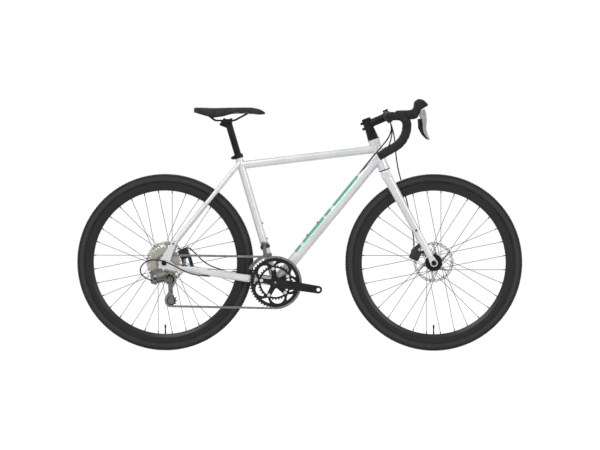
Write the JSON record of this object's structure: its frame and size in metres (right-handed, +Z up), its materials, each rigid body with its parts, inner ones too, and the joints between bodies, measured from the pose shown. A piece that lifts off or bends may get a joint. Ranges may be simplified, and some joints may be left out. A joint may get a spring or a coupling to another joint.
{
  "type": "gravel bike",
  "caption": "Diamond-frame gravel bicycle with drop handlebar, disc brakes, derailleur gears, knobbly tyres and bare crank ends for pedals.",
  "frame": {"origin": "on the ground under the middle of the wheelbase, in the bicycle's middle plane", "axes": "+X forward, +Y to the bicycle's left, +Z up"},
  "size_m": [1.7624, 0.4978, 0.994],
  "materials": {
    "frame_paint": "pearl silver paint",
    "black_alloy": "black anodised",
    "silver_alloy": "satin",
    "steel": "satin",
    "chain_steel": "oiled",
    "tyre_rubber": "matte",
    "bar_wrap": "soft matte",
    "hood_rubber": "matte",
    "black_plastic": "matte",
    "saddle_cover": "matte synthetic cover"
  },
  "bodies": {
    "frame": {"head_tube": "frame_paint", "top_tube": "frame_paint", "down_tube": "frame_paint", "seat_tube": "frame_paint", "bottom_bracket_shell": "frame_paint", "rear_stays": "frame_paint", "rear_dropouts": "frame_paint", "frame_bearings": "steel", "seat_clamp": "black_alloy", "frame_bolts": "steel", "rear_axle": "black_alloy", "rear_caliper": "black_alloy", "front_derailleur_body": "silver_alloy", "rear_derailleur_knuckle": "black_alloy", "chain": "chain_steel", "control_cables": "black_plastic", "rear_cables": "black_plastic"},
    "steering": {"fork_crown": "frame_paint", "fork_legs": "frame_paint", "headset_spacers": "black_alloy", "stem": "black_alloy", "cockpit_bolts": "steel", "handlebar": "black_alloy", "bar_tape": "bar_wrap", "lever_hoods": "hood_rubber", "front_axle": "black_alloy", "front_caliper": "black_alloy", "front_brake_cable": "black_plastic"},
    "front_wheel": {"front_tyre": "tyre_rubber", "front_rim": "black_alloy", "front_spokes": "steel", "front_hub": "black_alloy", "front_rotor": "steel"},
    "rear_wheel": {"rear_tyre": "tyre_rubber", "rear_rim": "black_alloy", "rear_spokes": "steel", "rear_hub": "black_alloy", "rear_rotor": "steel"},
    "cranks": {"right_crank": "black_alloy", "left_crank": "black_alloy", "chainrings": "black_alloy", "chainring_bolts": "steel"},
    "cassette": {"cassette": "chain_steel"},
    "derailleur_outer_link": {"rear_derailleur_outer_link": "black_alloy"},
    "derailleur_inner_link": {"rear_derailleur_inner_link": "black_alloy"},
    "derailleur_cage": {"rear_derailleur_cage": "black_alloy"},
    "upper_jockey": {"upper_jockey_wheel": "black_plastic"},
    "lower_jockey": {"lower_jockey_wheel": "black_plastic"},
    "front_derailleur": {"front_derailleur_cage": "steel"},
    "seat": {"seatpost": "black_alloy", "saddle_clamp": "black_alloy", "saddle_rails": "steel", "saddle_shell": "black_plastic", "saddle_pad": "saddle_cover"},
    "right_lever": {"right_brake_lever": "silver_alloy"},
    "left_lever": {"left_brake_lever": "silver_alloy"},
    "right_paddle": {"right_shift_paddle": "black_plastic"},
    "left_paddle": {"left_shift_paddle": "black_plastic"},
    "front_brake_arm": {"front_caliper_arm": "silver_alloy"},
    "rear_brake_arm": {"rear_caliper_arm": "silver_alloy"}
  },
  "joints": [
    {"name": "steering_turn", "type": "hinge", "parent": "frame", "child": "steering", "pos_m": [0.33584, 0, 0.71732], "axis": [-0.342, 0, 0.9397], "range_deg": [-60, 60], "deforming": ["control_cables"]},
    {"name": "front_wheel_spin", "type": "hinge", "parent": "steering", "child": "front_wheel", "pos_m": [0.53125, 0, 0.35], "axis": [0, 1, 0], "continuous": true},
    {"name": "rear_wheel_spin", "type": "hinge", "parent": "frame", "child": "rear_wheel", "pos_m": [-0.53125, 0, 0.35], "axis": [0, 1, 0], "continuous": true},
    {"name": "crank_spin", "type": "hinge", "parent": "frame", "child": "cranks", "pos_m": [-0.09416, 0, 0.272], "axis": [0, 1, 0], "continuous": true, "deforming": ["chain"]},
    {"name": "cassette_spin", "type": "hinge", "parent": "frame", "child": "cassette", "pos_m": [-0.53125, 0, 0.35], "axis": [0, 1, 0], "continuous": true, "deforming": ["chain"]},
    {"name": "derailleur_inner_link_turn", "type": "hinge", "parent": "frame", "child": "derailleur_inner_link", "pos_m": [-0.56425, -0.07861, 0.27454], "axis": [0, 0.788, 0.6157], "range_deg": [-26, 56], "deforming": ["chain", "rear_cables"]},
    {"name": "derailleur_shift", "type": "hinge", "parent": "frame", "child": "derailleur_outer_link", "pos_m": [-0.56425, -0.086, 0.284], "axis": [0, 0.788, 0.6157], "range_deg": [-26, 56], "deforming": ["chain", "rear_cables"]},
    {"name": "derailleur_cage_turn", "type": "hinge", "parent": "derailleur_outer_link", "child": "derailleur_cage", "pos_m": [-0.52561, -0.09237, 0.29216], "axis": [0, 0.788, 0.6157], "range_deg": [-56, 26], "deforming": ["chain"]},
    {"name": "upper_jockey_spin", "type": "hinge", "parent": "derailleur_cage", "child": "upper_jockey", "pos_m": [-0.50925, -0.0549, 0.285], "axis": [0, 1, 0], "continuous": true, "deforming": ["chain"]},
    {"name": "lower_jockey_spin", "type": "hinge", "parent": "derailleur_cage", "child": "lower_jockey", "pos_m": [-0.50475, -0.0549, 0.201], "axis": [0, 1, 0], "continuous": true, "deforming": ["chain"]},
    {"name": "front_derailleur_shift", "type": "hinge", "parent": "frame", "child": "front_derailleur", "pos_m": [-0.13562, -0.045, 0.42399], "axis": [1, 0, 0], "range_deg": [0, 9.5], "deforming": ["chain"]},
    {"name": "seatpost_height", "type": "slide", "parent": "frame", "child": "seat", "axis": [-0.284, 0, 0.9588], "range_m": [-0.07, 0.03]},
    {"name": "right_brake_pull", "type": "hinge", "parent": "steering", "child": "right_lever", "pos_m": [0.47231, -0.214, 0.94151], "axis": [0, 1, 0], "range_deg": [0, 20], "stiffness_Nm_per_rad": 0.6, "springref_deg": -5.73},
    {"name": "left_brake_pull", "type": "hinge", "parent": "steering", "child": "left_lever", "pos_m": [0.47231, 0.214, 0.94151], "axis": [0, 1, 0], "range_deg": [0, 20], "stiffness_Nm_per_rad": 0.6, "springref_deg": -5.73},
    {"name": "right_shift_push", "type": "hinge", "parent": "right_lever", "child": "right_paddle", "pos_m": [0.47531, -0.2057, 0.91351], "axis": [1, 0, 0], "range_deg": [0, 20], "stiffness_Nm_per_rad": 0.1, "springref_deg": -5.73},
    {"name": "left_shift_push", "type": "hinge", "parent": "left_lever", "child": "left_paddle", "pos_m": [0.47531, 0.2057, 0.91351], "axis": [-1, 0, 0], "range_deg": [0, 20], "stiffness_Nm_per_rad": 0.1, "springref_deg": -5.73},
    {"name": "front_brake_arm_pull", "type": "hinge", "parent": "steering", "child": "front_brake_arm", "pos_m": [0.45893, 0.0395, 0.37922], "axis": [0, 1, 0], "range_deg": [0, 24], "deforming": ["front_brake_cable"]},
    {"name": "rear_brake_arm_pull", "type": "hinge", "parent": "frame", "child": "rear_brake_arm", "pos_m": [-0.45999, 0.0557, 0.38173], "axis": [0, 1, 0], "range_deg": [0, 24], "deforming": ["rear_cables"]}
  ],
  "couplings": [
    {"joint": "cassette_spin", "follows": "crank_spin", "ratio": 3.3333},
    {"joint": "upper_jockey_spin", "follows": "crank_spin", "ratio": -4.5455},
    {"joint": "lower_jockey_spin", "follows": "crank_spin", "ratio": 4.5455},
    {"joint": "derailleur_inner_link_turn", "follows": "derailleur_shift", "ratio": 1},
    {"joint": "derailleur_cage_turn", "follows": "derailleur_shift", "ratio": -1},
    {"joint": "front_brake_arm_pull", "follows": "left_brake_pull", "ratio": 1.2},
    {"joint": "rear_brake_arm_pull", "follows": "right_brake_pull", "ratio": 1.2}
  ]
}
